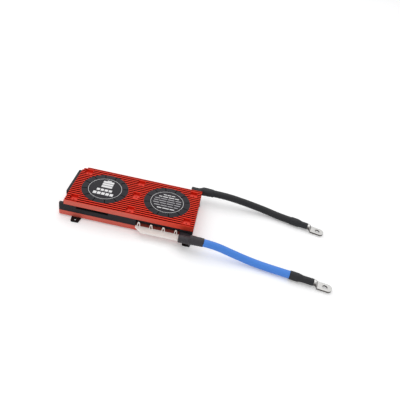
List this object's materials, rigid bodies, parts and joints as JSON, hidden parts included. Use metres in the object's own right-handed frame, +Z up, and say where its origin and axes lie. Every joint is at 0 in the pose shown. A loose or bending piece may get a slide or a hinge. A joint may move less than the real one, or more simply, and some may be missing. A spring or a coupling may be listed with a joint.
{
  "type": "battery management board",
  "caption": "Flat battery management board with a finned red heat-sink cover, black frame, side-entry cell-sense socket and two power leads ending in ring lugs.",
  "frame": {"origin": "on the surface that the mounting straps stand on, below the middle of the body and its terminal sleeves", "axes": "+X along the board towards the power leads, +Y from the cell-sense socket side to the rear, +Z up"},
  "size_m": [0.373, 0.1421, 0.0279],
  "materials": {
    "red_anodised": "satin red anodising",
    "black_plastic": "matte black moulding",
    "label_film": "matte charcoal film",
    "screw_steel": "plated steel",
    "red_board": "red solder mask",
    "white_nylon": "natural white nylon",
    "pin_metal": "tinned pins",
    "copper": "bare copper",
    "grey_shrink": "dark grey heat-shrink",
    "black_shrink": "black heat-shrink",
    "chip_black": "moulded black packages",
    "thermal_pad": "soft grey pad",
    "plain_aluminium": "plain aluminium",
    "blue_insulation": "soft blue silicone insulation",
    "black_insulation": "soft black silicone insulation",
    "tinned_copper": "tinned copper"
  },
  "bodies": {
    "root": {"heatsink_cover": "red_anodised", "base_plate": "red_anodised", "frame": "black_plastic", "mounting_straps": "black_plastic", "label_left": "label_film", "label_right": "label_film", "cover_screws": "screw_steel", "strap_screws": "screw_steel", "cover_spacers": "screw_steel", "circuit_board": "red_board", "sense_socket": "white_nylon", "data_sockets": "white_nylon", "sense_pins": "pin_metal", "data_pins": "pin_metal", "busbar_front": "copper", "busbar_rear": "copper", "blue_core": "copper", "black_core": "copper", "shunts": "copper", "terminal_sleeve_front": "grey_shrink", "terminal_sleeve_rear": "grey_shrink", "blue_shrink": "black_shrink", "black_shrink": "black_shrink", "mosfets": "chip_black", "controller_chip": "chip_black", "balance_resistors": "chip_black", "thermal_pads": "thermal_pad", "heat_spreaders": "plain_aluminium", "capacitors": "plain_aluminium", "blue_lead": "blue_insulation", "black_lead": "black_insulation", "blue_lug": "tinned_copper", "black_lug": "tinned_copper"}
  },
  "joints": []
}
